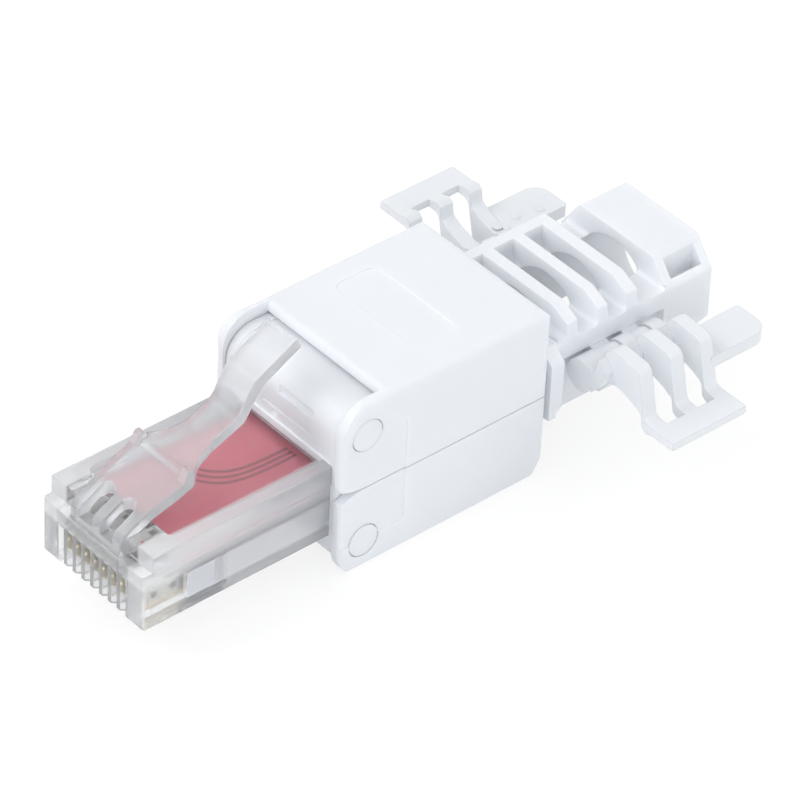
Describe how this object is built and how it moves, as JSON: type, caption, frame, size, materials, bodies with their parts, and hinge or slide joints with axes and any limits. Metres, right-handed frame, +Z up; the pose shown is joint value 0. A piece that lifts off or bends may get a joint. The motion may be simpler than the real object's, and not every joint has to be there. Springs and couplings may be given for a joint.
{
  "type": "field termination ethernet plug",
  "caption": "Modular network plug that is closed on a cable without a tool: clear nose with latch, hinged wire covers, and a cable cage with folding clamp wings.",
  "frame": {"origin": "centre of the bounding box in plan, at the bottom face of the lower cover", "axes": "+Y from the plug's nose to the cable inlet, +Z up to the latch side, +X to the right seen from the nose's side with the latch up"},
  "size_m": [0.0334, 0.0548, 0.0187],
  "materials": {
    "clear_polycarbonate": "clear moulded polycarbonate",
    "white_plastic": "white moulded plastic, satin gloss",
    "red_board": "red solder mask over glass fibre",
    "gold_contact": "gold plated",
    "terminal_bronze": "tin plated bronze"
  },
  "bodies": {
    "plug_body": {"plug_shell": "clear_polycarbonate", "contact_comb": "white_plastic", "circuit_board": "red_board", "contact_1": "gold_contact", "contact_2": "gold_contact", "contact_3": "gold_contact", "contact_4": "gold_contact", "contact_5": "gold_contact", "contact_6": "gold_contact", "contact_7": "gold_contact", "contact_8": "gold_contact", "terminal_1": "terminal_bronze", "terminal_2": "terminal_bronze", "terminal_3": "terminal_bronze", "terminal_4": "terminal_bronze", "terminal_5": "terminal_bronze", "terminal_6": "terminal_bronze", "terminal_7": "terminal_bronze", "terminal_8": "terminal_bronze", "terminal_carrier": "white_plastic", "cable_cage": "white_plastic"},
    "latch": {"latch": "clear_polycarbonate"},
    "upper_cover": {"upper_cover": "white_plastic"},
    "lower_cover": {"lower_cover": "white_plastic"},
    "right_wing": {"right_wing": "white_plastic"},
    "left_wing": {"left_wing": "white_plastic"}
  },
  "joints": [
    {"name": "latch_flex", "type": "hinge", "parent": "plug_body", "child": "latch", "pos_m": [0, -0.02652, 0.008], "axis": [1, 0, 0], "range_deg": [-10, 0], "stiffness_Nm_per_rad": 0.02},
    {"name": "upper_cover_hinge", "type": "hinge", "parent": "plug_body", "child": "upper_cover", "pos_m": [0, -0.00788, 0.0124], "axis": [1, 0, 0], "range_deg": [0, 35]},
    {"name": "lower_cover_hinge", "type": "hinge", "parent": "plug_body", "child": "lower_cover", "pos_m": [0, -0.00788, 0.0025], "axis": [1, 0, 0], "range_deg": [-35, 0]},
    {"name": "right_wing_hinge", "type": "hinge", "parent": "plug_body", "child": "right_wing", "pos_m": [0.0072, 0.0174, 0.0077], "axis": [0, 1, 0], "range_deg": [0, 105]},
    {"name": "left_wing_hinge", "type": "hinge", "parent": "plug_body", "child": "left_wing", "pos_m": [-0.0072, 0.0174, 0.0077], "axis": [0, 1, 0], "range_deg": [0, 105]}
  ]
}
